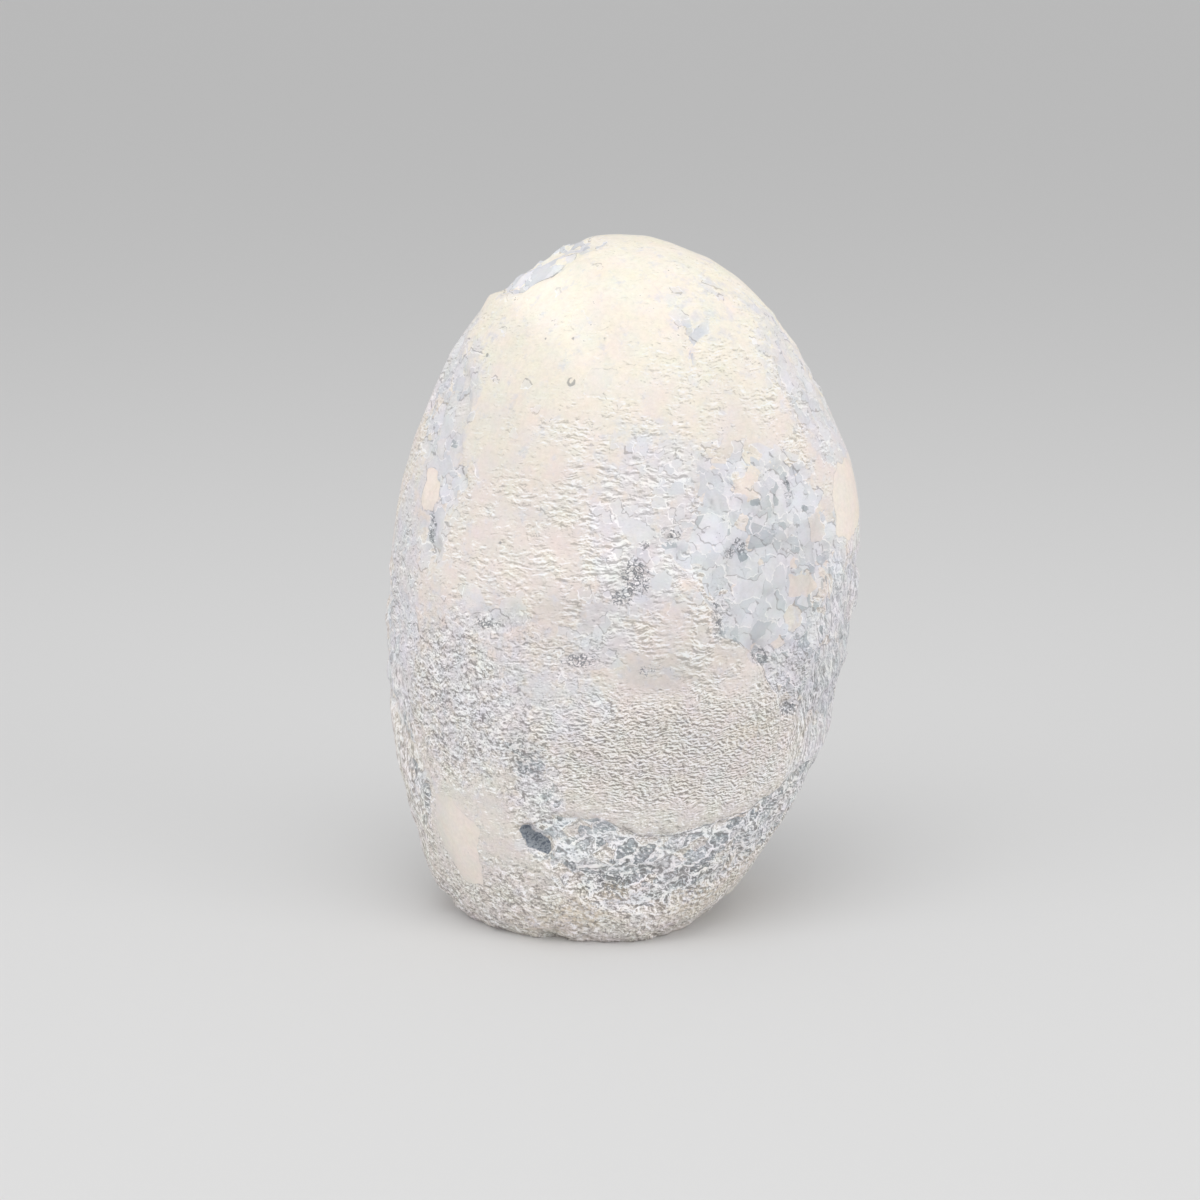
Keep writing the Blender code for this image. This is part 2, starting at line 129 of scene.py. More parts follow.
# Crystal patches: share of bare crystal, white network, raggedness of the edge, corners on
# the front view, and then the corners out of its sight.
PATCHES = {
    "shoulder": (0.95, 0.0, 0.6, (
        (815, 730), (800, 715), (775, 690), (750, 655), (722, 635), (712, 605), (690, 575),
        (655, 550), (690, 510), (700, 455), (760, 445), (805, 470), (830, 500), (845, 560)), (
        (84, 112), (98, 102), (102, 84), (94, 66), (80, 57))),
    "seam": (0.4, 0.0, 0.35, (
        (466, 616), (496, 600), (518, 600), (550, 612), (590, 602), (612, 578), (632, 550),
        (655, 554), (640, 598), (606, 638), (566, 640), (515, 630), (470, 640)), ()),
    "skirt": (0.92, 1.0, 0.35, (
        (740, 866), (700, 893), (660, 908), (600, 905), (568, 890), (545, 862), (528, 846),
        (540, 818), (566, 820), (600, 819), (640, 838), (690, 832), (735, 815), (770, 793),
        (800, 765)), (
        (82, 52), (92, 42), (78, 26))),
    "fan": (0.9, 0.5, 0.3, (
        (505, 742), (522, 736), (540, 748), (544, 770), (528, 778), (508, 765)), ()),
    "left brow": (0.7, 0.0, 0.5, (
        (466, 338), (470, 372), (472, 402), (464, 440), (466, 490), (444, 518), (441, 556),
        (426, 566), (422, 530), (430, 500), (434, 468), (424, 452)), (
        (-84, 148), (-88, 160))),
    "left cheek": (0.6, 0.2, 0.6, (
        (400, 580), (416, 606), (420, 640), (412, 668), (404, 690), (420, 735), (428, 775),
        (436, 800), (424, 822), (412, 790), (402, 750)), (
        (-84, 64), (-100, 68), (-114, 82), (-112, 104), (-92, 110))),
    "crown": (0.75, 0.0, 0.3, (
        (500, 296), (524, 292), (548, 278), (572, 262), (604, 243)), (
        (-90, 198), (-140, 198), (-140, 190), (-112, 180))),
    "temple": (0.5, 0.0, 0.6, (
        (826, 440), (800, 432), (782, 400), (768, 360), (764, 330), (772, 312)), (
        (94, 184), (104, 172), (99, 157), (90, 148))),
    "split": (0.75, 0.0, 0.1, (
        (679, 319), (688, 322), (695, 328), (704, 327), (706, 333), (698, 339), (694, 350),
        (692, 368), (688, 368), (688, 350), (684, 334)), ()),
    "right brow": (0.8, 0.0, 0.7, (), (
        (96, 150), (108, 164), (126, 166), (134, 152), (126, 138), (108, 136))),
    "back": (0.93, 0.0, 0.9, (), (
        (150, 138), (168, 148), (190, 142), (204, 124), (198, 104), (208, 86), (196, 66),
        (174, 58), (158, 70), (162, 90), (148, 104), (142, 122))),
    "back hem": (0.9, 0.9, 0.8, (), (
        (118, 40), (136, 50), (160, 42), (184, 40), (206, 46), (222, 34), (210, 16), (180, 8),
        (150, 10), (126, 20))),
    "left back": (0.85, 0.0, 0.9, (), (
        (226, 150), (238, 162), (250, 154), (248, 138), (238, 124), (226, 128))),
    "heel": (0.8, 0.4, 0.8, (), (
        (232, 72), (244, 82), (254, 70), (250, 52), (238, 48), (228, 58))),
}
# Waves along a patch's edge: (size, reach); where its white network starts, and its fade.
EDGE_WANDER = ((15.0, 4.2), (6.5, 2.4))
NETWORK_START = 3.0
NETWORK_FADE = 4.0
# Islands of crust in the patches, each with its half-width.
ISLANDS_SEEN = ((750, 482, 3.6), (826, 588, 3.6), (402, 650, 4.5), (450, 415, 4.0))
ISLANDS_HIDDEN = ((86, 98, 4.5), (66, 38, 5.0), (182, 104, 6.0), (176, 130, 4.5),
                  (140, 34, 5.5), (196, 28, 5.0), (-96, 88, 5.5))
# How ragged an island is: size of the waves, and how far they reach.
ISLAND_FRAY = (2.6, 2.2)
# The same for a sheet of smooth crust.
SHEET_FRAY = (3.0, 1.2)
# Deep pits: seen corners, hidden corners.
PITS = (
    (((518, 829), (524, 824), (531, 825), (533, 833), (542, 834), (552, 840), (551, 847),
      (548, 855), (540, 852), (528, 849), (525, 842)), ()),
    ((), ((174, 122), (181, 124), (184, 118), (178, 113), (173, 116))),
)

# Sheets of smooth crust with a clear edge: seen corners, hidden corners.
SHEETS = (
    (((836, 462), (845, 458), (856, 470), (859, 500), (856, 525), (848, 540), (838, 537),
      (833, 515), (832, 490)), ()),
    (((427, 470), (434, 468), (440, 485), (441, 500), (433, 512), (424, 512), (421, 498),
      (426, 482)), ()),
    (((436, 792), (450, 797), (467, 816), (482, 830), (476, 845), (482, 870), (484, 886),
      (465, 880), (448, 852), (438, 832)), ()),
    (((790, 576), (812, 574), (818, 586), (806, 597), (788, 596)), ()),
    ((), ((118, 116), (128, 120), (138, 112), (132, 98), (120, 102))),
)

# Single crystals that catch the eye: place, half-width, half-height, darkness. Each has
# five or six corners, shifted along by a share of their spacing and out by one of its size.
CORNER_SHIFT = 0.55
CORNER_REACH = 0.18
CRYSTALS_SEEN = (
    (759, 534, 6.2, 4.0, 0.7), (742, 556, 1.6, 2.2, 0.95), (732, 548, 1.8, 1.5, 0.8),
    (755, 502, 1.6, 1.7, 0.9), (775, 500, 1.9, 2.3, 0.85), (805, 508, 1.7, 1.6, 0.95),
    (787, 483, 1.0, 3.0, 0.95), (670, 545, 2.4, 1.8, 0.85), (760, 658, 2.4, 1.6, 0.95),
    (787, 707, 2.4, 1.8, 0.85), (822, 583, 1.0, 3.2, 0.8), (722, 634, 1.6, 1.4, 0.8),
    (775, 460, 2.6, 2.0, 0.55), (795, 470, 2.2, 2.4, 0.6), (700, 470, 2.6, 1.8, 0.5),
    (660, 490, 2.4, 1.8, 0.5), (625, 590, 1.8, 1.4, 0.7), (640, 565, 2.0, 1.2, 0.6),
    (757, 462, 2.4, 2.0, 0.55), (688, 525, 2.2, 1.8, 0.45), (735, 640, 1.4, 1.4, 0.85),
    (584, 830, 2.0, 2.6, 0.95), (597, 832, 1.6, 1.6, 0.8), (643, 855, 2.4, 1.6, 0.95),
    (695, 855, 4.0, 2.4, 0.75), (615, 862, 1.8, 1.6, 0.9), (647, 884, 2.6, 1.4, 1.0),
    (665, 848, 2.0, 1.2, 0.8), (720, 845, 2.6, 1.8, 0.8), (570, 850, 2.6, 2.6, 0.55),
    (600, 870, 2.2, 1.6, 0.6), (680, 870, 2.2, 1.6, 0.85), (735, 850, 2.8, 1.6, 0.9),
    (760, 835, 2.6, 1.8, 0.8), (635, 870, 1.8, 1.2, 0.9), (560, 835, 1.6, 1.4, 0.6),
    (455, 475, 2.4, 2.6, 0.55), (455, 445, 2.0, 1.6, 0.9), (433, 517, 1.8, 1.6, 0.95),
    (432, 537, 1.5, 2.4, 0.85), (460, 398, 2.0, 2.6, 0.6), (412, 795, 1.6, 2.0, 0.95),
    (545, 800, 1.8, 2.2, 0.85), (405, 612, 5.0, 5.0, 0.3), (832, 665, 3.6, 7.0, 0.35),
    (712, 530, 6.8, 5.8, 0.22), (803, 602, 3.6, 3.2, 0.2),
)
CRYSTALS_HIDDEN = (
    (164, 128, 5.5, 4.0, 0.6), (188, 96, 4.0, 3.2, 0.8), (170, 82, 3.4, 2.8, 0.7),
    (240, 142, 3.0, 3.0, 0.7), (112, 152, 3.2, 2.6, 0.75), (156, 30, 3.4, 2.2, 0.85),
    (186, 26, 3.2, 2.0, 0.9),
)

# Long crystals: place, half-length, half-width, tilt, darkness; an upright one has a tilt
# of 90.
SPLINTERS_SEEN = (
    (827, 580, 2.8, 0.9, 88, 0.95), (828, 605, 3.4, 1.4, 90, 0.6), (821, 630, 2.3, 1.3, 85, 0.9),
    (818, 655, 3.4, 1.5, 72, 0.7), (812, 690, 3.2, 1.5, 84, 0.75), (808, 625, 2.4, 1.6, 60, 0.6),
    (805, 715, 3.2, 1.1, 70, 0.8), (808, 702, 2.6, 1.0, 70, 0.6), (815, 725, 2.6, 1.2, 70, 0.7),
    (842, 640, 4.4, 1.2, 84, 0.85), (835, 605, 3.4, 1.3, 80, 0.0), (810, 740, 3.2, 1.1, 65, 0.75),
    (838, 628, 3.6, 1.4, 84, 0.0), (830, 690, 4.0, 1.3, 76, 0.6), (842, 575, 3.4, 1.3, 95, 0.5),
    (412, 735, 2.5, 1.1, 80, 0.95), (414, 768, 3.2, 1.4, 95, 1.0), (426, 790, 2.6, 1.8, 60, 1.0),
    (426, 805, 2.4, 1.4, 50, 0.95), (425, 820, 2.4, 1.6, 70, 0.95), (433, 847, 2.6, 1.6, 80, 0.95),
    (441, 700, 1.9, 1.0, 10, 0.9), (444, 712, 1.7, 1.1, 80, 0.85), (443, 735, 1.7, 1.0, 70, 0.75),
    (428, 742, 1.6, 1.1, 60, 0.75), (405, 720, 2.8, 1.2, 80, 0.8), (408, 690, 2.4, 1.2, 70, 0.7),
    (512, 748, 3.2, 1.1, -48, 0.9), (521, 754, 4.4, 1.1, -50, 0.7), (526, 767, 4.4, 1.2, -40, 0.9),
    (534, 762, 3.8, 0.9, -55, 0.8), (520, 773, 3.2, 0.9, -25, 0.8), (538, 774, 3.0, 0.9, -60, 0.95),
    (528, 744, 2.8, 0.9, -10, 0.0), (551, 790, 3.6, 1.4, 60, 0.75), (558, 803, 2.8, 1.1, 45, 0.9),
    (560, 830, 3.4, 1.6, -60, 0.55), (610, 838, 3.2, 1.8, 20, 0.5), (562, 858, 2.8, 2.2, 30, 0.5),
    (720, 850, 3.2, 1.6, 30, 0.75), (740, 835, 3.0, 1.3, 35, 0.8), (660, 880, 3.0, 1.4, 15, 0.85),
    (700, 880, 3.2, 1.5, 35, 0.85), (765, 818, 3.6, 1.4, 40, 0.7), (786, 790, 3.6, 1.4, 50, 0.75),
    (687, 322, 3.2, 1.4, -45, 0.35), (700, 327, 2.6, 1.3, 30, 0.45), (694, 336, 3.0, 1.8, 80, 0.45),
    (692, 356, 4.6, 0.9, 86, 0.5),
)
SPLINTERS_HIDDEN = (
    (-108, 84, 4.0, 1.6, 70, 0.8), (196, 74, 4.4, 1.8, 60, 0.8), (150, 92, 4.0, 1.6, 110, 0.7),
)

# Soft-edged zones seen from the front: across, down, half-width, half-height, strength.
ZONES_SEEN = {
    # smooth stretches
    "calm": (
        (658, 672, 12, 5, 0.8), (464, 840, 9, 16, 0.4), (765, 600, 13, 13, 0.6),
        (725, 560, 8, 8, 0.5), (550, 270, 18, 8, 0.9)),
    # warm crust
    "peach": (
        (848, 500, 10, 12, 1.0), (432, 494, 8, 10, 1.0), (470, 850, 9, 16, 0.3),
        (750, 482, 5, 4, 0.7), (690, 610, 12, 12, 0.3), (826, 588, 5, 5, 0.2)),
    # clusters of small dark crystals
    "dark": (
        (636, 577, 3.8, 4.8, 1.25), (624, 598, 3.4, 2.4, 1.0), (645, 545, 1.6, 1.4, 0.8),
        (673, 535, 2.2, 1.6, 0.9), (729, 553, 2.6, 1.4, 0.9), (738, 546, 2.4, 2.2, 0.9),
        (757, 656, 3.4, 2.4, 0.9),
        (486, 623, 5.5, 1.5, 0.8), (787, 707, 3.0, 2.4, 0.6), (787, 490, 2.0, 4.4, 0.5),
        (433, 530, 1.8, 4.6, 0.8), (426, 800, 3.0, 8.0, 0.5), (528, 765, 5.0, 4.0, 0.3),
        (612, 882, 5.0, 4.0, 0.8), (718, 622, 2.0, 6.0, 0.6), (580, 661, 6.0, 2.0, 0.8),
        (598, 642, 3.0, 2.4, 0.4), (658, 670, 6.0, 2.0, 0.35)),
    # where the crust ends sharply
    "crisp": (
        (745, 655, 13, 26, 1.0), (690, 815, 52, 6, 0.9), (535, 282, 24, 9, 1.0),
        (485, 618, 14, 5, 0.7), (693, 345, 8, 9, 1.0)),
    "stain": (
        (580, 915, 8, 6, 1.0), (700, 900, 12, 7, 0.7), (615, 892, 4, 4, 0.9),
        (740, 868, 8, 9, 0.5), (545, 925, 12, 5, 0.6), (750, 735, 8, 5, 0.4)),
    # where a thin dark crack follows the edge of a patch; under the crown's ledge the line is a
    # painted shadow
    "cracks and ledge shadow": (
        (605, 835, 14, 5, 0.7), (718, 822, 22, 6, 1.0), (785, 778, 20, 6, 0.8),
        (725, 630, 8, 12, 0.6), (765, 675, 9, 9, 0.7), (535, 282, 24, 8, 0.8)),
    # small round grains
    "grainy": ((798, 668, 7, 10, 0.9), (724, 600, 3, 9, 0.6)),
    "dull": ((524, 758, 7, 8, 1.0), (658, 672, 14, 7, 1.5)),
}
# Soft-edged zones, broad ones and those out of sight: (degrees, height, half-width,
# half-height, strength).
ZONES = {
    # loose crystals among the crust, as a share of the surface
    "flecks": (
        (7, 128, 18, 24, 0.3), (14, 141, 10, 9, 0.42), (3, 112, 12, 11, 0.5),
        (-6, 96, 9, 9, 0.42), (-42, 78, 24, 26, 0.26), (-74, 96, 12, 34, 0.55),
        (-17, 76, 14, 12, 0.26), (-24, 48, 7, 7, 0.45), (-64, 146, 8, 28, 0.4),
        (-90, 165, 14, 14, 0.4), (72, 162, 13, 24, 0.32), (44, 184, 12, 12, 0.12),
        (84, 80, 16, 40, 0.55), (72, 46, 16, 18, 0.45), (78, 144, 14, 8, 0.5),
        (96, 120, 10, 26, 0.6), (-38, 98, 12, 4, 0.35),
        (180, 60, 34, 34, 0.32), (220, 120, 30, 44, 0.32), (140, 140, 28, 28, 0.3),
        (130, 70, 24, 30, 0.22)),
    # long flat flakes
    "ripple": (
        (6, 120, 30, 30, 0.65), (18, 96, 20, 16, 0.9), (-34, 118, 22, 28, 0.3),
        (30, 163, 26, 16, 0.2), (-8, 152, 26, 8, 0.45), (60, 150, 14, 20, 0.4),
        (128, 100, 30, 40, 0.8), (215, 110, 26, 34, 0.9), (240, 130, 26, 30, 0.6)),
    # fine wrinkles
    "fine": (
        (10, 62, 42, 19, 1.0), (30, 56, 26, 14, 1.0), (-18, 88, 16, 8, 0.4),
        (170, 170, 26, 14, 0.6), (110, 66, 30, 16, 0.8)),
    # small round grains
    "grainy": (
        (14, 28, 44, 16, 0.6), (46, 74, 14, 16, 0.8), (58, 70, 12, 16, 0.7), (60, 92, 6, 12, 0.4),
        (-50, 72, 26, 28, 1.0), (-30, 66, 12, 16, 0.7), (0, 3, 70, 9, 1.0),
        (-60, 8, 30, 12, 1.0), (-34, 94, 18, 8, 0.5),
        (-72, 104, 12, 26, 0.5), (0, 12, 66, 16, 1.0), (-26, 46, 12, 12, 0.8),
        (60, 30, 30, 20, 0.9), (180, 16, 70, 16, 1.0), (230, 90, 26, 40, 0.9),
        (100, 20, 50, 18, 0.9), (-84, 30, 26, 26, 0.8), (250, 16, 50, 16, 0.9)),
    "calm": (
        (-22, 164, 28, 17, 0.4), (-4, 190, 24, 12, 0.4), (-34, 146, 16, 10, 0.5),
        (150, 186, 30, 16, 0.6)),
    "peach": ((200, 164, 16, 12, 0.5), (-100, 140, 14, 16, 0.4), (126, 108, 14, 16, 0.6)),
    "dark": ((172, 100, 5.0, 6.0, 0.7), (160, 28, 8.0, 5.0, 0.7), (238, 64, 4.0, 4.0, 0.7)),
    "crisp": ((180, 100, 40, 50, 0.5),),
    "stain": ((120, 10, 24, 8, 0.8), (200, 10, 30, 8, 0.8), (150, 20, 10, 8, 0.6)),
    # flakes that stand upright
    "upright": (
        (76, 86, 20, 30, 1.0), (64, 62, 14, 18, 0.9), (84, 50, 18, 24, 0.8),
        (-80, 50, 14, 34, 0.9), (-92, 100, 16, 30, 0.6), (-82, 150, 10, 26, 0.4)),
    "cracks and ledge shadow": ((160, 46, 40, 8, 0.6),),
    # places made lighter and darker; most pale ones lie low down and are painted light where the
    # lamps light the stone less
    "pale": (
        (-52, 40, 24, 20, 0.6), (-50, 76, 24, 22, 0.4), (-40, 14, 20, 14, 0.5),
        (10, 30, 70, 30, 0.15), (-84, 190, 34, 10, 1.0), (-48, 120, 14, 24, 0.2)),
    "dull": (
        (-10, 156, 60, 34, 0.5), (-50, 28, 12, 16, 0.1), (4, 96, 40, 16, 1.0),
        (78, 76, 16, 30, 0.6), (44, 112, 22, 16, 0.95), (10, 62, 34, 18, 0.8),
        (-48, 74, 22, 22, 0.5), (-14, 84, 30, 12, 0.6), (52, 80, 16, 14, 0.6),
        (42, 88, 12, 12, 0.3), (16, 24, 30, 10, 0.3), (180, 40, 40, 30, 0.4)),
}
# A small ring on the front view with its half-width, the half-width of its line, and small
# round marks, each with its half-width.
RING = (571, 382, 0.95)
RING_LINE = 0.4
MARKS = ((487, 355, 0.7), (546, 339, 0.5), (573, 339, 0.6), (605, 339, 0.6), (560, 409, 0.5),
         (578, 368, 0.4), (600, 361, 0.45), (500, 543, 0.6))

# Colours as the eye sees them, 0 to 255.
# Cream of the crust from top to foot: partly its own tint, partly painted light, lighter at the top
# as if lit from above
CREAM_TOP = (244, 237, 223)
CREAM_MID = (230, 221, 214)
CREAM_LOW = (220, 214, 208)
PEACH_COLOUR = (238, 227, 217)
# Lines of the grain, and painted shade under the lips
LINE_AND_SHADE_COLOUR = (112, 106, 103)
# Painted highlight along the upper edges of the lips
SHINE_COLOUR = (249, 247, 247)
CRYSTAL_WHITE = (229, 228, 232)
CRYSTAL_PALE = (214, 215, 219)
CRYSTAL_MID = (188, 193, 197)
CRYSTAL_DEEP = (154, 160, 165)
VEIL_COLOUR = (218, 218, 224)
NETWORK = (240, 240, 242)
SPECK_AND_SHADOW_COLOUR = (112, 115, 120)
PIT_COLOUR = (106, 114, 126)
STAIN_COLOUR = (208, 190, 160)

# Grain of the surface: (size across, size up).
LONG_FLAKE = (3.4, 1.4)
WRINKLE = (1.35, 0.56)
GRAIN = (1.7, 1.45)
# How much closer upright flakes stand, and how much longer they are.
UPRIGHT = (2.4, 2.4, 0.4)
# Sizes of large and small crystals, and how they are drawn out in the veined patches: slope
# in degrees and stretch.
LARGE_CRYSTAL = 5.6
SMALL_CRYSTAL = 2.9
NET_SLOPE = -35.0
NET_STRETCH = (1.35, 1.0, 0.8)
# Bends of the crystals' edges and crumples of the flakes: size, and reach to and fro.
BEND_SIZE = 2.4
BEND = 2.6
CRUMPLE_SIZE = 7.0
CRUMPLE = 3.2
# Sizes of mottles, of cloudy veils, and of broad changes of the crust's colour.
MOTTLE_SIZE = 1.3
CLOUD_SIZE = 3.6
BROAD_SIZE = 26.0
# Heights, in lips: level steps of a flake, flakes of plain crust, upright flakes, wrinkles
# where they are fine and elsewhere, grains where it is grainy or dark and where it is
# veined, crystals and how deep they lie, and the white network.
FLAKE_STEPS = 12
PLAIN_RIPPLE = 0.2
UPRIGHT_RISE = 0.8
FINE_RISE = 6.2
PLAIN_WRINKLE = 1.5
GRAIN_RISE = 7.0
NET_GRAIN = 2.6
CRYSTAL_RISE = 3.0
CRYSTAL_SUNK = 1.7
NET_RISE = 1.6
# The way to the next place that a height is compared with, and how far lips and facets tilt.
LIP = (0.22, 0.18, 0.35)
LIP_SLOPE = 0.6
FACET_SLOPE = 0.35
# Width of a patch's edge where it is soft and where it is crisp; share of loose crystals
# where there are fewest.
SOFT_EDGE = 9.0
CRISP_EDGE = 0.8
FEWEST_FLECKS = 0.02
# Share of its relief that a smooth stretch and a sheet lose.
CALM_LOSS = 0.75
SHEET_LOSS = 0.85
# Lightness with its changes in mottled, pale and dull parts, the pale ones partly painted
# light, and the least and the spread of the tint.
LIGHTNESS = 0.985
MOTTLE_SHADE = 0.26
PALE_SHADE = 0.1
DULL_SHADE = 0.12
TINT_LEAST = (0.92, 0.945, 0.91)
TINT_SPREAD = (0.16, 0.11, 0.18)
# Roughness of the crust, how much less bare crystal has, and the strength of reflections.
CRUST_ROUGHNESS = 0.78
CRYSTAL_SHEEN = 0.22
SHINE = 0.4

# Stage: lamps as (name, place in metres, size, power), the point they are turned to, how
# far round each shines in degrees, the room's own light, and the floor.
LAMPS = (
    ("key", (-0.1, -0.8, 1.5), 1.4, 2.4),
    ("left fill", (-1.2, -0.8, 0.35), 1.0, 1.4),
    ("right fill", (1.2, -0.8, 0.3), 1.0, 1.95),
)
LAMP_AIM = (0.0, 0.0, 0.1)
LAMP_SPREAD = 90.0
ROOM_LIGHT = 0.65
FLOOR_SIZE = 60.0
FLOOR_COLOUR = (222, 222, 222)
FLOOR_ROUGHNESS = 0.9


# ---- Shape ----

def apply_modifier(piece, kind, **settings):
    """Add one modifier, set it and bake it into the shape."""
    bpy.context.view_layer.objects.active = piece
    modifier = piece.modifiers.new(kind.lower(), kind)
    for name, value in settings.items():
        setattr(modifier, name, value)
    bpy.ops.object.modifier_apply(modifier=modifier.name)


def lay_out_sides(piece):
    """Give each side of the cube its own part of the colour map."""
    uv = piece.data.uv_layers.new(name="OFBake")
    for face in piece.data.polygons:
        axis = max(range(3), key=lambda i: abs(face.normal[i]))
        u0, v0, u1, v1 = MAP_CELLS[axis, 1 if face.normal[axis] > 0 else -1]
        for loop in face.loop_indices:
            corner = piece.data.vertices[piece.data.loops[loop].vertex_index].co
            across = corner[1] if axis == 0 else corner[0]
            up = corner[1] if axis == 2 else corner[2]
            uv.data[loop].uv = (u0 + (u1 - u0) * (0.5 + 0.5 * across),
                                v0 + (v1 - v0) * (0.5 + 0.5 * up))


def blank_stone():
    """A finely divided ball, about the size of the stone, with evenly spread faces.

    It starts as a cube two across, whose corners are pushed out to a ball of half-width 1.
    """
    bpy.ops.object.select_all(action="DESELECT")
    bpy.ops.mesh.primitive_cube_add(size=2.0, calc_uvs=False)
    piece = bpy.context.object
    piece.name = "stone"
    lay_out_sides(piece)
    apply_modifier(piece, "SUBSURF", subdivision_type="SIMPLE", levels=BLANK_CUTS)
    corners = np.tan(points_of(piece) * math.pi / 4)
    corners /= np.linalg.norm(corners, axis=1)[:, None]
    set_points(piece, corners * BLANK_REACH + (0, 0, BLANK_MIDDLE))
    return piece


def points_of(piece):
    """Corner points as an array."""
    flat = np.empty(len(piece.data.vertices) * 3)
    piece.data.vertices.foreach_get("co", flat)
    return flat.reshape(-1, 3)


def set_points(piece, points):
    """Put the corner points where the array says, given in millimetres."""
    piece.data.vertices.foreach_set("co", (points * MM).ravel())
    piece.data.update()


def normals_of(piece):
    """Outward direction at each corner."""
    flat = np.empty(len(piece.data.vertices) * 3)
    piece.data.vertex_normals.foreach_get("vector", flat)
    return flat.reshape(-1, 3)


def fit_to_solid(piece, solid):
    """Draw the blank on to the solid and take the hardness off its facets."""
    apply_modifier(piece, "SHRINKWRAP", target=solid, wrap_method="PROJECT",
                   use_positive_direction=True, use_negative_direction=True)
    group = piece.vertex_groups.new(name="above the foot")
    above = [i for i, p in enumerate(points_of(piece)) if p[2] > FOOT_EDGE * MM]
    group.add(above, 1.0, "REPLACE")
    apply_modifier(piece, "SMOOTH", factor=SMOOTHING, iterations=SMOOTHING_ROUNDS,
                   vertex_group=group.name)


# ---- Zones ----

def place(solid, azimuth, height):
    """The point of the stone at so many degrees round and so high up."""
    around = math.radians(azimuth)
    out = Vector((math.sin(around), -math.cos(around), 0.0))
    middle = Vector((AXIS[0], AXIS[1], height)) * MM
    hit, where, _, _ = solid.ray_cast(middle + out, -out)
    return np.array(where if hit else middle) / MM


def line_of_sight(across, down):
    """Where the eye is, and its way to a spot of the front view."""
    rise = math.radians(EYE_RISE)
    ahead = Vector((0.0, math.cos(rise), -math.sin(rise)))
    upward = Vector((0.0, math.sin(rise), math.cos(rise)))
    scale = SHEET_SCALE * EYE_DISTANCE
    way = ahead + upward * (SHEET_WIDTH / 2 - down) / scale
    way.x = (across - SHEET_WIDTH / 2) / scale
    return (Vector(EYE_AIM) - ahead * EYE_DISTANCE) * MM, way.normalized()


def seen(solid, across, down):
    """The point of the stone under a spot of the front view.

    A spot just past the outline is drawn in towards the middle until it meets the stone.
    """
    hit = False
    while not hit:
        eye, way = line_of_sight(across, down)
        hit, where, _, _ = solid.ray_cast(eye, way)
        across += math.copysign(1.0, SHEET_WIDTH / 2 - across)
    return np.array(where) / MM


def ring_of(solid, spots, places):
    """Points of the stone under the spots of the front view, then those of the places."""
    return np.array([seen(solid, x, y) for x, y in spots]
                    + [place(solid, a, h) for a, h in places])


def centred(solid, seen_rows, hidden_rows):
    """The rows of both tables, each with its point of the stone in place of two numbers."""
    rows = [(seen(solid, x, y), *rest) for x, y, *rest in seen_rows]
    return rows + [(place(solid, a, h), *rest) for a, h, *rest in hidden_rows]


def flat_frame(centre):
    """Two directions lying on the stone at a point, and the one standing out of it."""
    outward = (centre - (0.0, 0.0, GIRTH_HEIGHT)) / np.square(GIRTH)
    outward /= np.linalg.norm(outward)
    across = np.cross((0.0, 0.0, 1.0), outward)
    across /= np.linalg.norm(across)
    return across, np.cross(outward, across), outward


def run_distance(points, a, b):
    """Distance from each point to the straight run between a and b."""
    run = b - a
    t = np.clip((points - a) @ run / (run @ run), 0, 1)
    return np.linalg.norm(points - a - t[:, None] * run, axis=1)


def ring_depth(flat, ring):
    """How deep each point lies inside a flat ring of corners, less than nothing outside."""
    nearest = np.full(len(flat), np.inf)
    inside = np.zeros(len(flat), dtype=bool)
    for a, b in zip(ring, np.roll(ring, -1, axis=0)):
        nearest = np.minimum(nearest, run_distance(flat, a, b))
        if a[1] != b[1]:
            crosses = (a[1] > flat[:, 1]) != (b[1] > flat[:, 1])
            where = (b[0] - a[0]) * (flat[:, 1] - a[1]) / (b[1] - a[1]) + a[0]
            inside ^= crosses & (flat[:, 0] < where)
    return np.where(inside, nearest, -nearest)


def laid_flat(points, normals, centre):
    """Points as seen standing over a centre, and which of them face that way."""
    across, up, outward = flat_frame(centre)
    flat = np.column_stack(((points - centre) @ across, (points - centre) @ up))
    return flat, normals @ outward > FACING


def outline_depth(points, normals, corners):
    """How deep each point lies inside an outline on the stone."""
    centre = corners.mean(axis=0)
    flat, facing = laid_flat(points, normals, centre)
    ring, _ = laid_flat(corners, corners, centre)
    return np.where(facing, ring_depth(flat, ring), OUTSIDE)


def rough(points, size, draw):
    """Smooth random waves of about the given size, between -1 and 1."""
    shift = Vector((draw, draw * 0.37, -draw * 0.71))
    return np.array([noise.noise(Vector(p) / size + shift) for p in points])


def ease(value):
    """Nothing below 0, all above 1, with a soft start and finish."""
    t = np.clip(value, 0.0, 1.0)
    return t * t * (3 - 2 * t)


def zone_cover(points, normals, zones):
    """Strength of the soft-edged zones at each point."""
    cover = np.zeros(len(points))
    for centre, half_width, half_height, strength in zones:
        flat, facing = laid_flat(points, normals, centre)
        reach = np.hypot(flat[:, 0] / half_width, flat[:, 1] / half_height)
        fade = ease((reach - ZONE_CORE) / ZONE_FADE)
        cover = np.maximum(cover, strength * (1 - fade) * facing)
    return cover


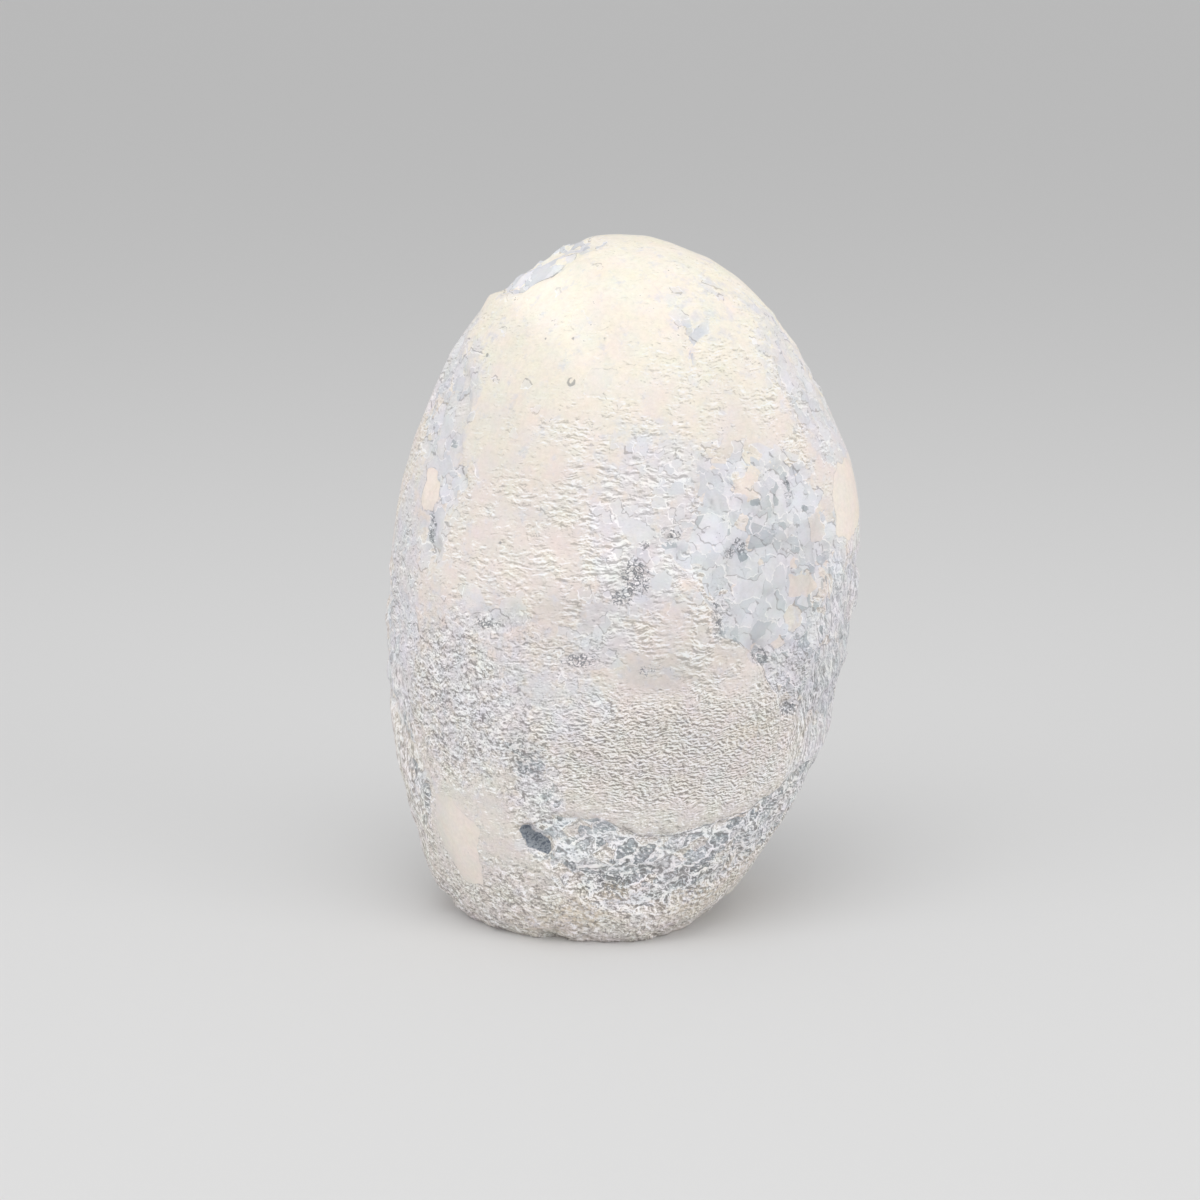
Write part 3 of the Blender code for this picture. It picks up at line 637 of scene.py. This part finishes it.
def patch_zones(solid, points, normals):
    """Depth inside the nearest crystal patch, and how bare and how veined that patch is."""
    shifted = points - (AXIS[0], AXIS[1], 0)
    wander = sum(reach * rough(shifted, size, WANDER_DRAW) for size, reach in EDGE_WANDER)
    inside = np.full(len(points), OUTSIDE)
    share = np.zeros(len(points))
    veined = np.zeros(len(points))
    for bare, network, ragged, spots, places in PATCHES.values():
        corners = ring_of(solid, spots, places)
        depth = outline_depth(points, normals, corners) - ragged * wander
        nearer = depth > inside
        inside = np.where(nearer, depth, inside)
        share = np.where(nearer, bare, share)
        veined = np.where(nearer, network, veined)
    fray = ISLAND_FRAY[1] * rough(points, ISLAND_FRAY[0], FRAY_DRAW)
    for centre, width in centred(solid, ISLANDS_SEEN, ISLANDS_HIDDEN):
        gap = np.linalg.norm(points - centre, axis=1) + fray
        inside = np.minimum(inside, gap - width)
    return inside, share, veined


def turned(flat, degrees):
    """Flat points turned about the middle."""
    c, s = math.cos(math.radians(degrees)), math.sin(math.radians(degrees))
    return np.column_stack((flat[:, 0] * c - flat[:, 1] * s, flat[:, 0] * s + flat[:, 1] * c))


def crystal_zones(solid, points, normals):
    """Depth inside the nearest single crystal, and how dark that one is.

    Each is a flat shape with five or six corners, no two alike.
    """
    inside = np.full(len(points), OUTSIDE)
    darkness = np.zeros(len(points))
    level = [(*row[:3], 0.0, row[3]) for row in centred(solid, CRYSTALS_SEEN, CRYSTALS_HIDDEN)]
    tilted = centred(solid, SPLINTERS_SEEN, SPLINTERS_HIDDEN)
    for number, crystal in enumerate(level + tilted):
        centre, half_length, half_width, tilt, dark = crystal
        count = 5 + number % 2
        turns = [(k + CORNER_SHIFT * math.sin(number * 3.1 + k * 2.3)) * math.tau / count
                 for k in range(count)]
        ring = np.array([(half_length * math.cos(t), half_width * math.sin(t)) for t in turns])
        ring *= 1 + CORNER_REACH * np.sin(np.arange(count) * 4.7 + number)[:, None]
        flat, facing = laid_flat(points, normals, centre)
        depth = np.where(facing, ring_depth(turned(flat, -tilt), ring), OUTSIDE)
        nearer = depth > inside
        inside = np.where(nearer, depth, inside)
        darkness = np.where(nearer, dark, darkness)
    return inside, darkness


def deepest(solid, points, normals, outlines):
    """Depth inside the nearest of several outlines."""
    inside = np.full(len(points), OUTSIDE)
    for spots, places in outlines:
        corners = ring_of(solid, spots, places)
        inside = np.maximum(inside, outline_depth(points, normals, corners))
    return inside


def mark_depth(solid, points):
    """Depth inside the nearest mark, and depth inside the line of the ring."""
    inside = np.full(len(points), OUTSIDE)
    for across, down, width in MARKS:
        gap = np.linalg.norm(points - seen(solid, across, down), axis=1)
        inside = np.maximum(inside, width - gap)
    across, down, width = RING
    gap = np.linalg.norm(points - seen(solid, across, down), axis=1)
    return np.maximum(inside, RING_LINE - np.abs(gap - width))


def keep(piece, name, values):
    """Store one number for each corner point, for the material to read."""
    layer = piece.data.attributes.new(name, "FLOAT", "POINT")
    layer.data.foreach_set("value", np.asarray(values, dtype=np.float32))


def mark_zones(piece, solid):
    """Store every zone of the surface on the piece, and return them by name."""
    points = points_of(piece) / MM
    normals = normals_of(piece)
    zones = {}
    for name, table in ZONES.items():
        rows = centred(solid, ZONES_SEEN.get(name, ()), table)
        zones[name] = zone_cover(points, normals, rows)
    inside, share, veined = patch_zones(solid, points, normals)
    zones["patch"] = inside
    zones["share"] = share
    zones["veined"] = veined * ease((inside + NETWORK_START) / NETWORK_FADE)
    zones["crystal"], zones["crystal dark"] = crystal_zones(solid, points, normals)
    fray = SHEET_FRAY[1] * rough(points, SHEET_FRAY[0], FRAY_DRAW)
    zones["sheet"] = deepest(solid, points, normals, SHEETS) + fray
    zones["pit"] = deepest(solid, points, normals, PITS)
    zones["mark"] = mark_depth(solid, points)
    for name, values in zones.items():
        keep(piece, name, values)
    return zones


def waves(points, size):
    """Random waves of one width across and another up, with their height in the size."""
    across, up, high = size
    return high * rough(points * (1, 1, across / up), across, RELIEF_DRAW)


def face_rise(points, wanted):
    """Flat leaning crystal faces, each standing a little off from the next."""
    rise = np.zeros(len(points))
    for k in np.flatnonzero(wanted):
        here = Vector(points[k]) / FACE_SIZE
        seat = noise.voronoi(here)[1][0]
        lean = (noise.cell_vector(seat * 53.0) - Vector((0.5, 0.5, 0.5))) * 2 * FACE_LEAN
        stand = noise.cell(seat * 31.0) * FACE_STEP / 2
        rise[k] = (here - seat).dot(lean) * FACE_SIZE + stand
    return rise


def roughen(piece, zones, solid):
    """Relief too fine for the solid, left off the flat of the foot."""
    points = points_of(piece) / MM
    bare = ease(zones["patch"] / FACES_EDGE + 0.5)
    smooth = np.maximum(zones["calm"], ease(zones["sheet"]))
    crust = waves(points, FLAKES) * zones["ripple"] + waves(points, LUMPS) * zones["grainy"]
    rise = waves(points, SWELL) + crust * (1 - bare) * (1 - smooth)
    rise += face_rise(points, bare > 0) * bare * (1 - CALM_FACES * zones["calm"])
    rise += waves(points, KNOBS) * ease(1 - points[:, 2] / KNOBS_REACH)
    normals = normals_of(piece)
    rise += zone_cover(points, normals, centred(solid, (), SWELLINGS))
    rise *= ease((points[:, 2] - RELIEF_FROM) / RELIEF_FADE)
    moved = points + normals * rise[:, None]
    low = ease(1 - points[:, 2] / BITE_REACH)
    bite = BITE_DEPTH * (BITE_SHARE + rough(points, BITE_SIZE, BITE_DRAW)) * low
    moved[:, :2] -= normals[:, :2] * bite[:, None]
    set_points(piece, moved)


# ---- Material ----

class Value:
    """One output of a node, which can be used in sums like a number."""

    def __init__(self, paint, socket):
        self.paint = paint
        self.socket = socket

    def math(self, operation, *others):
        """The outcome of one Math node on this value and the others."""
        inputs = dict(enumerate((self,) + others))
        return self.paint.node("ShaderNodeMath", {"operation": operation}, inputs)

    def __add__(self, other):
        return self.math("ADD", other)

    def __sub__(self, other):
        return self.math("SUBTRACT", other)

    def __rsub__(self, other):
        inputs = {0: other, 1: self}
        return self.paint.node("ShaderNodeMath", {"operation": "SUBTRACT"}, inputs)

    def __mul__(self, other):
        return self.math("MULTIPLY", other)

    def __truediv__(self, other):
        return self.math("DIVIDE", other)

    __radd__ = __add__
    __rmul__ = __mul__

    def least(self, other):
        """The lesser of the two."""
        return self.math("MINIMUM", other)

    def most(self, other):
        """The greater of the two."""
        return self.math("MAXIMUM", other)

    def size(self):
        """The value without its sign."""
        return self.math("ABSOLUTE")

    def step(self, low, high):
        """0 at low, 1 at high, with a soft start and finish."""
        inputs = {"Value": self, "From Min": low, "From Max": high}
        return self.paint.node("ShaderNodeMapRange", {"interpolation_type": "SMOOTHSTEP"},
                               inputs)


class Paint:
    """Builds the nodes of one material."""

    def __init__(self, material):
        self.tree = material.node_tree
        self.zones = {}

    def node(self, kind, settings=None, inputs=None, output=0):
        """One node with its settings and its inputs, and the output that is wanted."""
        made = self.tree.nodes.new(kind)
        for name, value in (settings or {}).items():
            setattr(made, name, value)
        for name, value in (inputs or {}).items():
            if isinstance(value, Value):
                self.tree.links.new(value.socket, made.inputs[name])
            else:
                made.inputs[name].default_value = value
        return Value(self, made.outputs[output])

    def zone(self, name):
        """A number kept on the piece for each corner point."""
        if name not in self.zones:
            self.zones[name] = self.node("ShaderNodeAttribute", {"attribute_name": name},
                                         output="Fac")
        return self.zones[name]

    def vector_math(self, operation, a, b):
        """The outcome of one Vector Math node."""
        return self.node("ShaderNodeVectorMath", {"operation": operation}, {0: a, 1: b})

    def noise(self, where, size, detail, roughness, output="Fac"):
        """Cloudy random numbers, in clouds of about the given size."""
        inputs = {"Vector": where, "Scale": 1 / size, "Detail": detail, "Roughness": roughness}
        return self.node("ShaderNodeTexNoise", None, inputs, output)

    def cells(self, where, size, feature="F1", output="Color"):
        """Random cells of about the given size."""
        inputs = {"Vector": where, "Scale": 1 / size}
        return self.node("ShaderNodeTexVoronoi", {"feature": feature}, inputs, output)

    def mix(self, factor, a, b):
        """Colour or place a where the factor is 0, b where it is 1."""
        settings = {"data_type": "RGBA", "blend_type": "MIX"}
        return self.node("ShaderNodeMix", settings, {0: factor, 6: a, 7: b}, 2)

    def shade(self, colour, strength):
        """The colour made lighter or darker by a strength around 1."""
        settings = {"data_type": "RGBA", "blend_type": "MULTIPLY"}
        grey = self.node("ShaderNodeCombineXYZ", None, {0: strength, 1: strength, 2: strength})
        return self.node("ShaderNodeMix", settings, {0: 1.0, 6: colour, 7: grey}, 2)

    def part(self, colour, index):
        """Red, green or blue of a colour, by its number."""
        return self.node("ShaderNodeSeparateColor", None, {0: colour}, index)


def tone(colour):
    """A colour as the eye sees it, 0 to 255, as the amounts of light Blender mixes."""
    shares = [c / 255 for c in colour]
    light = [c / 12.92 if c <= 0.04045 else ((c + 0.055) / 1.055) ** 2.4 for c in shares]
    return (*light, 1.0)


def push(paint, colour, amount):
    """A random colour as a push to and fro, up to half the amount each way."""
    way = paint.vector_math("SUBTRACT", colour, (0.5, 0.5, 0.5))
    return paint.vector_math("MULTIPLY", way, (amount, amount, amount))


def scaled(paint, vector, amount):
    """The vector made longer or shorter."""
    return paint.node("ShaderNodeVectorMath", {"operation": "SCALE"}, {0: vector, 3: amount})


def on_a_sheet(paint):
    """1 on a sheet of smooth crust, 0 off it."""
    return paint.zone("sheet").step(-0.1, 0.2)


def bare_share(paint):
    """Share of the surface that is bare crystal."""
    soft = SOFT_EDGE - paint.zone("crisp") * (SOFT_EDGE - CRISP_EDGE)
    share = (paint.zone("patch") / soft + 0.5).least(1.0).most(0.0) * paint.zone("share")
    return share.most(paint.zone("flecks")).most(FEWEST_FLECKS) * (1.0 - on_a_sheet(paint))


def pace_of(paint, patchy):
    """How lively the relief is: all over, in patches, and between the two."""
    even = (1.0 - paint.zone("calm") * CALM_LOSS) * (1.0 - on_a_sheet(paint) * SHEET_LOSS)
    busy = even * (0.28 + paint.part(patchy, 1).step(0.4, 0.56) * 0.72)
    return even, busy, even * 0.65 + busy * 0.35


def crystal_cells(paint, bent):
    """Three random numbers for each crystal; large ones stand here and there among small."""
    large = paint.cells(bent, LARGE_CRYSTAL)
    small = paint.cells(bent, SMALL_CRYSTAL)
    whole = (paint.part(large, 0) + paint.zone("veined") * 0.5).math("GREATER_THAN", 0.6)
    return paint.mix(whole, small, large)


def on_the_slope(paint, bent):
    """The same places, with the crystals of the veined patches drawn out up to the right."""
    turn = {"Vector": bent, "Rotation": (0.0, math.radians(NET_SLOPE), 0.0), "Scale": NET_STRETCH}
    sloping = paint.node("ShaderNodeMapping", {"vector_type": "TEXTURE"}, turn)
    return paint.mix(paint.zone("veined").math("GREATER_THAN", 0.5), bent, sloping)


def grain_heights(paint, where):
    """Heights, between 0 and 1, of the long flakes, the wrinkles and the round grains."""
    heights = []
    standing = paint.vector_math("MULTIPLY", where, UPRIGHT)
    where = paint.mix(paint.zone("upright").math("GREATER_THAN", 0.4), where, standing)
    for across, up in (LONG_FLAKE, WRINKLE, GRAIN):
        lying = paint.vector_math("MULTIPLY", where, (1 / across, 1 / across, 1 / up))
        heights.append(paint.noise(lying, 1.0, 2.0, 0.62))
    return heights


def surface(paint, where, bend, crumple, share, pace):
    """Height of the surface in lips, with all that its colour hangs on at the same place.

    That is how bare it is, how much white network covers it, three random numbers for
    each crystal, and the height of the grains.
    """
    even, busy, steady = pace
    bent = on_the_slope(paint, paint.vector_math("ADD", where, bend))
    chance = crystal_cells(paint, bent)
    bare = (share - paint.part(chance, 1)).step(-0.02, 0.02)
    bare = bare.most(paint.zone("crystal").step(-0.05, 0.05))
    edge = paint.cells(bent, LARGE_CRYSTAL, "DISTANCE_TO_EDGE", "Distance")
    web = (edge * 7.0).step(0.9, 0.35) * paint.zone("veined")
    flake, wrinkle, grain = grain_heights(paint, paint.vector_math("ADD", where, crumple))
    wrinkle = wrinkle * (paint.zone("fine") * FINE_RISE + PLAIN_WRINKLE)
    tiny = (wrinkle + grain * paint.zone("grainy") * GRAIN_RISE) * steady
    tiny = tiny + grain * (paint.zone("dark") * GRAIN_RISE + paint.zone("veined") * NET_GRAIN)
    flat = ((flake - 0.5) * FLAKE_STEPS).math("FLOOR")
    crust = flat * (paint.zone("ripple") + PLAIN_RIPPLE) * busy
    crystal = (paint.part(chance, 2) * CRYSTAL_RISE - CRYSTAL_SUNK) * even
    rise = crust * (1.0 - bare) + crystal * bare + web * NET_RISE + tiny
    rise = rise + flat * paint.zone("upright") * UPRIGHT_RISE * even
    return rise, bare, web, chance, grain


def crust_colour(paint, where, height, patchy):
    """Colour of the chalky crust before its lips are painted lit and shaded. It is lighter and
    yellower towards the top: partly the crust's own tint, partly painted light falling from above.
    """
    broad = paint.noise(where, BROAD_SIZE, 2.0, 0.55)
    # Lighter towards the top: partly the crust's own tint, partly painted light from above
    level = height / STONE_HEIGHT + (broad - 0.5) * 0.3
    colour = paint.mix(level.step(0.15, 0.6), tone(CREAM_LOW), tone(CREAM_MID))
    colour = paint.mix(level.step(0.6, 0.95), colour, tone(CREAM_TOP))
    on_sheet = on_a_sheet(paint)
    peach = paint.zone("peach") * 0.55 * paint.part(patchy, 0).step(0.35, 0.6)
    peach = peach.most(on_sheet * (paint.zone("peach") * 2.0).least(1.0))
    colour = paint.mix(peach, colour, tone(PEACH_COLOUR))
    cloud = paint.noise(where, CLOUD_SIZE, 3.0, 0.65)
    veil = (paint.zone("flecks") * 0.9 + paint.zone("dark") * 0.6 + cloud - 0.62).step(-0.08, 0.14)
    return paint.mix(veil * 0.6 * (1.0 - on_sheet), colour, tone(VEIL_COLOUR))


def crystal_colour(paint, chance, web, share, mottle):
    """Colour of the grown-together crystals before their lips are painted lit and shaded."""
    alone = paint.zone("crystal").step(-0.05, 0.05)
    deep = paint.part(chance, 2) * (0.3 + share * 0.5) + paint.zone("veined") * 0.38
    deep = deep * (1.0 - paint.zone("calm") * 0.2)
    deep = deep * (1.0 - alone) + paint.zone("crystal dark") * alone + (mottle - 0.5) * 0.35
    colour = paint.mix(deep.step(0.1, 0.45), tone(CRYSTAL_WHITE), tone(CRYSTAL_PALE))
    colour = paint.mix(deep.step(0.5, 0.8), colour, tone(CRYSTAL_MID))
    colour = paint.mix(deep.step(0.8, 1.1), colour, tone(CRYSTAL_DEEP))
    return paint.mix(web * (1.0 - alone * 0.8) * 0.9, colour, tone(NETWORK))


def paint_lip_highlight_and_shade(paint, colour, lit, dim, bare, grain, steady):
    """Squiggles of the grain, and along the lips of the surface a painted highlight on each upper
    edge and painted shade under each lower edge, as if lit from above.
    """
    deeper_shade = paint.zone("grainy").most(paint.zone("fine"))
    squiggle = (grain - 0.5).size().step(0.04, 0.01) * paint.zone("grainy") * steady
    colour = paint.mix(squiggle * 0.5, colour, tone(LINE_AND_SHADE_COLOUR))
    # Painted highlight on the upper lips, then painted shade under the lower ones, deeper where the
    # crust is grainy or finely wrinkled
    colour = paint.mix(lit * (0.88 - bare * 0.12), colour, tone(SHINE_COLOUR))
    return paint.mix(dim * (0.38 + deeper_shade * 0.28), colour, tone(LINE_AND_SHADE_COLOUR))


def tinge(paint, colour, patchy, mottle):
    """Faint differences of tint and lightness from place to place; the pale places low down are
    painted light where the lamps light the stone less.
    """
    tint = paint.vector_math("MULTIPLY", patchy, TINT_SPREAD)
    tint = paint.vector_math("ADD", tint, TINT_LEAST)
    tinted = {"data_type": "RGBA", "blend_type": "MULTIPLY"}
    colour = paint.node("ShaderNodeMix", tinted, {0: 1.0, 6: colour, 7: tint}, 2)
    # Pale places: painted light, most of it low down where the lamps light the stone less; dull
    # places are darker
    level = paint.zone("pale") * PALE_SHADE - paint.zone("dull") * DULL_SHADE
    return paint.shade(colour, LIGHTNESS + (mottle - 0.5) * MOTTLE_SHADE + level)


def draw_dark(paint, colour, patchy, mottle, grain):
    """Clusters of small dark crystals, cracks along the edges of patches with a painted shadow line
    under the crown's ledge, rims of the sheets, stains and marks.
    """
    crowded = paint.zone("dark") + (paint.part(patchy, 2) - 0.5) * 1.2 + (mottle - 0.5) * 1.8
    crowded = crowded.step(0.35, 0.6)
    speck = (grain - 0.53).size().step(0.06, 0.03) * crowded
    # Dark line along a patch's edge: cracks, and under the crown's ledge a painted shadow
    crack_and_shadow = (paint.zone("patch") + (mottle - 0.5) * 0.8).size().step(0.3, 0.12)
    crack_and_shadow = crack_and_shadow * paint.zone("cracks and ledge shadow") * mottle.step(0.35, 0.5)
    rim = (paint.zone("sheet") + (mottle - 0.5) * 0.8).size().step(0.3, 0.1)
    rim = rim * mottle.step(0.42, 0.55) * paint.zone("peach") * 0.5
    colour = paint.mix(speck.most(crack_and_shadow).most(rim) * 0.82, colour, tone(SPECK_AND_SHADOW_COLOUR))
    stain = paint.zone("stain") * mottle.step(0.4, 0.62)
    colour = paint.mix(stain * 0.5, colour, tone(STAIN_COLOUR))
    return paint.mix(paint.zone("mark").step(-0.1, 0.15) * 0.6, colour, tone(SPECK_AND_SHADOW_COLOUR))


def pit_floor(paint, mottle, grain):
    """Dark floor of the pits, dusted with paler crystal."""
    dust = mottle.step(0.5, 0.6).most((grain - 0.5).size().step(0.06, 0.03)) * 0.45
    return paint.mix(dust, tone(PIT_COLOUR), tone(CRYSTAL_MID))


def outward_of(paint, slope, chance, bare):
    """Which way the surface faces, tilted along the lips and from crystal to crystal."""
    facet = paint.vector_math("SUBTRACT", chance, (0.5, 0.5, 0.5))
    outward = paint.node("ShaderNodeNewGeometry", output="Normal")
    outward = paint.vector_math("ADD", outward, scaled(paint, LIP, slope))
    outward = paint.vector_math("ADD", outward, scaled(paint, facet, bare * FACET_SLOPE))
    return paint.node("ShaderNodeVectorMath", {"operation": "NORMALIZE"}, {0: outward})


def stone_material():
    """Crust, crystal patches, pits and stains in one material.

    Its heights are worked out at each place and again a little above it: where the surface
    drops between the two it has a lip, which is painted as a highlight on an upper edge and as
    shade under a lower edge, as if lit from above, and is tilted.
    """
    material = bpy.data.materials.new("celestite stone")
    material.use_nodes = True
    paint = Paint(material)
    place_on_stone = paint.node("ShaderNodeTexCoord", output="Object")
    where = scaled(paint, place_on_stone, 1 / MM)
    above = paint.vector_math("ADD", where, LIP)
    height = paint.node("ShaderNodeSeparateXYZ", None, {0: where}, 2)
    bend = push(paint, paint.noise(where, BEND_SIZE, 1.0, 0.6, "Color"), BEND)
    patchy = paint.noise(where, CRUMPLE_SIZE, 3.0, 0.6, "Color")
    crumple = push(paint, patchy, CRUMPLE)
    mottle = paint.noise(where, MOTTLE_SIZE, 3.0, 0.7)

    share = bare_share(paint)
    pace = pace_of(paint, patchy)
    rise, bare, web, chance, grain = surface(paint, where, bend, crumple, share, pace)
    rise_above = surface(paint, above, bend, crumple, share, pace)[0]
    crust = crust_colour(paint, where, height, patchy)
    crystal = crystal_colour(paint, chance, web, share, mottle)
    colour = paint.mix(bare * (0.3 + share).least(1.0), crust, crystal)

    # Painted light: a lip where the surface here stands above the place just over it gets a painted
    # highlight, and one where it lies below gets painted shade; both also tilt the surface
    drop = rise - rise_above
    lit = drop.step(0.1, 0.9)
    dim = drop.step(-0.1, -0.9)
    colour = paint_lip_highlight_and_shade(paint, colour, lit, dim, bare, grain, pace[2])
    colour = tinge(paint, colour, patchy, mottle)
    colour = draw_dark(paint, colour, patchy, mottle, grain)
    pit = (paint.zone("pit") + (mottle - 0.5) * 0.8).step(-0.12, 0.12)
    colour = paint.mix(pit, colour, pit_floor(paint, mottle, grain))

    outward = outward_of(paint, (lit - dim) * LIP_SLOPE * (1.0 - pit), chance, bare)
    shader = material.node_tree.nodes["Principled BSDF"]
    material.node_tree.links.new(colour.socket, shader.inputs["Base Color"])
    material.node_tree.links.new(outward.socket, shader.inputs["Normal"])
    roughness = CRUST_ROUGHNESS - bare * CRYSTAL_SHEEN
    material.node_tree.links.new(roughness.socket, shader.inputs["Roughness"])
    shader.inputs["Specular IOR Level"].default_value = SHINE
    return material


# ---- Stage ----

def plain_material(name, colour, roughness):
    """One colour all over."""
    material = bpy.data.materials.new(name)
    material.use_nodes = True
    shader = material.node_tree.nodes["Principled BSDF"]
    shader.inputs["Base Color"].default_value = tone(colour)
    shader.inputs["Roughness"].default_value = roughness
    return material


def lay_floor():
    """A pale plain floor."""
    bpy.ops.object.select_all(action="DESELECT")
    bpy.ops.mesh.primitive_plane_add(size=FLOOR_SIZE)
    floor = bpy.context.object
    floor.name = "floor"
    floor.data.materials.append(plain_material("floor paint", FLOOR_COLOUR, FLOOR_ROUGHNESS))


def hang_light(name, place_m, size, power):
    """One large soft lamp, turned towards the stone."""
    lamp = bpy.data.lights.new(name, "AREA")
    lamp.spread = math.radians(LAMP_SPREAD)
    lamp.shape = "DISK"
    lamp.size = size
    lamp.energy = power
    holder = bpy.data.objects.new(name, lamp)
    holder.location = place_m
    towards = Vector(LAMP_AIM) - Vector(place_m)
    holder.rotation_euler = towards.to_track_quat("-Z", "Y").to_euler()
    bpy.context.scene.collection.objects.link(holder)


def light_stage():
    """Soft light from above and in front, with a fill from each side."""
    for lamp in LAMPS:
        hang_light(*lamp)
    world = bpy.data.worlds.new("room")
    world.use_nodes = True
    sky = world.node_tree.nodes["Background"]
    sky.inputs["Color"].default_value = (1.0, 1.0, 1.0, 1.0)
    sky.inputs["Strength"].default_value = ROOM_LIGHT
    bpy.context.scene.world = world
    bpy.context.scene.view_settings.view_transform = "Standard"


def set_camera():
    """The eye of the front view."""
    eye, ahead = line_of_sight(SHEET_WIDTH / 2, SHEET_WIDTH / 2)
    camera = bpy.data.cameras.new("camera")
    camera.lens = SENSOR * SHEET_SCALE * EYE_DISTANCE / SHEET_WIDTH
    camera.sensor_width = SENSOR
    holder = bpy.data.objects.new("camera", camera)
    holder.location = eye
    holder.rotation_euler = ahead.to_track_quat("-Z", "Y").to_euler()
    bpy.context.scene.collection.objects.link(holder)
    bpy.context.scene.camera = holder


# ---- Build ----

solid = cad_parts["geode"]
stone = blank_stone()
fit_to_solid(stone, solid)
roughen(stone, mark_zones(stone, solid), solid)
bpy.ops.object.shade_smooth()
stone.data.materials.append(stone_material())
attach(stone, "root")
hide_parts("geode")

lay_floor()
light_stage()
set_camera()
